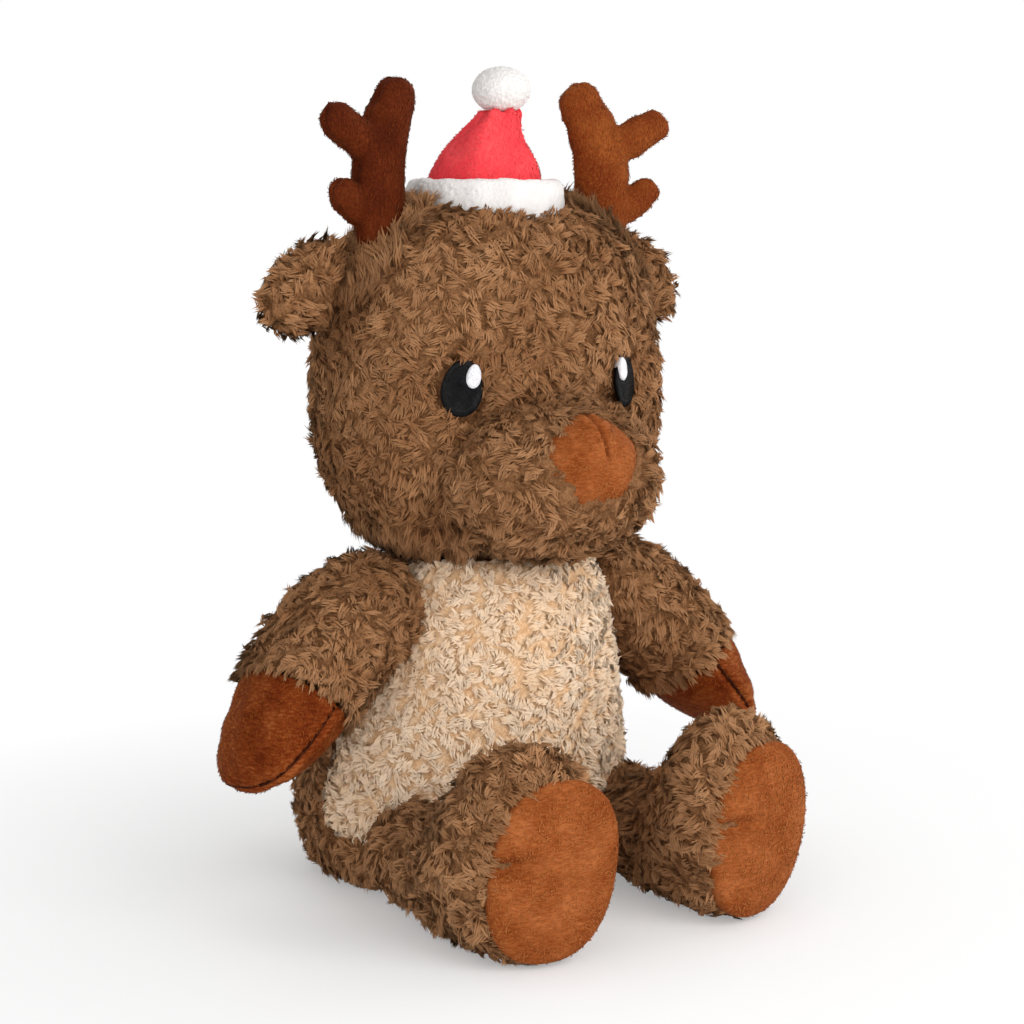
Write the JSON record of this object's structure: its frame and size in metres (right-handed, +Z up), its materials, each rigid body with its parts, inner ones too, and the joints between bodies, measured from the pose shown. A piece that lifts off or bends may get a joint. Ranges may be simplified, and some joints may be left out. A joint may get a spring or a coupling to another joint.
{
  "type": "plush deer",
  "caption": "Seated stuffed deer in brown teddy pile with a cream belly, soft antlers, a small cone hat, swinging arms, lifting legs and a turning head.",
  "frame": {"origin": "middle of the bounding box, on the floor the deer sits on", "axes": "+Z up through the hat, -Y the way the deer faces, +X towards the deer's left arm"},
  "size_m": [0.2542, 0.2058, 0.3363],
  "materials": {
    "brown_teddy_pile": "matt curly pile",
    "cream_teddy_pile": "matt curly pile",
    "rust_velour": "short soft nap",
    "rust_paw_velour": "short soft nap",
    "rust_antler_velour": "short soft nap",
    "red_velour": "short soft nap",
    "white_plush": "short dense pile",
    "black_thread": "satin stitch",
    "white_thread": "satin stitch",
    "polyester_filling": "loose fibre",
    "pouch_cloth": "plain weave"
  },
  "bodies": {
    "torso": {"body_skin": "brown_teddy_pile", "belly_panel": "cream_teddy_pile", "body_filling": "polyester_filling", "pellet_pouch": "pouch_cloth"},
    "head": {"head_skin": "brown_teddy_pile", "head_filling": "polyester_filling", "muzzle": "brown_teddy_pile", "nose": "rust_velour", "eye_right": "black_thread", "eye_left": "black_thread", "eye_glint_right": "white_thread", "eye_glint_left": "white_thread", "antler_right": "rust_antler_velour", "antler_left": "rust_antler_velour", "antler_filling_right": "polyester_filling", "antler_filling_left": "polyester_filling", "hat_cuff": "white_plush", "hat_cone": "red_velour", "hat_filling": "polyester_filling", "pompom": "white_plush"},
    "ear_right": {"ear_right": "brown_teddy_pile"},
    "ear_left": {"ear_left": "brown_teddy_pile"},
    "arm_right": {"arm_sleeve_right": "brown_teddy_pile", "paw_right": "rust_paw_velour", "arm_filling_right": "polyester_filling"},
    "arm_left": {"arm_sleeve_left": "brown_teddy_pile", "paw_left": "rust_paw_velour", "arm_filling_left": "polyester_filling"},
    "leg_right": {"leg_skin_right": "brown_teddy_pile", "sole_right": "rust_velour", "leg_filling_right": "polyester_filling"},
    "leg_left": {"leg_skin_left": "brown_teddy_pile", "sole_left": "rust_velour", "leg_filling_left": "polyester_filling"}
  },
  "joints": [
    {"name": "head_turn", "type": "hinge", "parent": "torso", "child": "head", "pos_m": [0.00247, 0.01857, 0.141], "axis": [0, 0, 1], "range_deg": [-45, 45], "stiffness_Nm_per_rad": 0.5},
    {"name": "ear_flap_right", "type": "hinge", "parent": "head", "child": "ear_right", "pos_m": [-0.0618, 0.02457, 0.24901], "axis": [0.4662, 0, 0.8847], "range_deg": [-22, 22], "stiffness_Nm_per_rad": 0.06},
    {"name": "ear_flap_left", "type": "hinge", "parent": "head", "child": "ear_left", "pos_m": [0.06674, 0.02457, 0.24901], "axis": [0.4662, 0, -0.8847], "range_deg": [-22, 22], "stiffness_Nm_per_rad": 0.06},
    {"name": "arm_swing_right", "type": "hinge", "parent": "torso", "child": "arm_right", "pos_m": [-0.04153, 0.01757, 0.12], "axis": [-1, 0, 0], "range_deg": [-30, 60], "stiffness_Nm_per_rad": 0.3},
    {"name": "arm_swing_left", "type": "hinge", "parent": "torso", "child": "arm_left", "pos_m": [0.04647, 0.01757, 0.12], "axis": [-1, 0, 0], "range_deg": [-30, 60], "stiffness_Nm_per_rad": 0.3},
    {"name": "leg_lift_right", "type": "hinge", "parent": "torso", "child": "leg_right", "pos_m": [-0.04703, -0.00693, 0.023], "axis": [-1, 0, 0], "range_deg": [0, 22], "stiffness_Nm_per_rad": 0.4},
    {"name": "leg_lift_left", "type": "hinge", "parent": "torso", "child": "leg_left", "pos_m": [0.05197, -0.00693, 0.023], "axis": [-1, 0, 0], "range_deg": [0, 22], "stiffness_Nm_per_rad": 0.4}
  ]
}
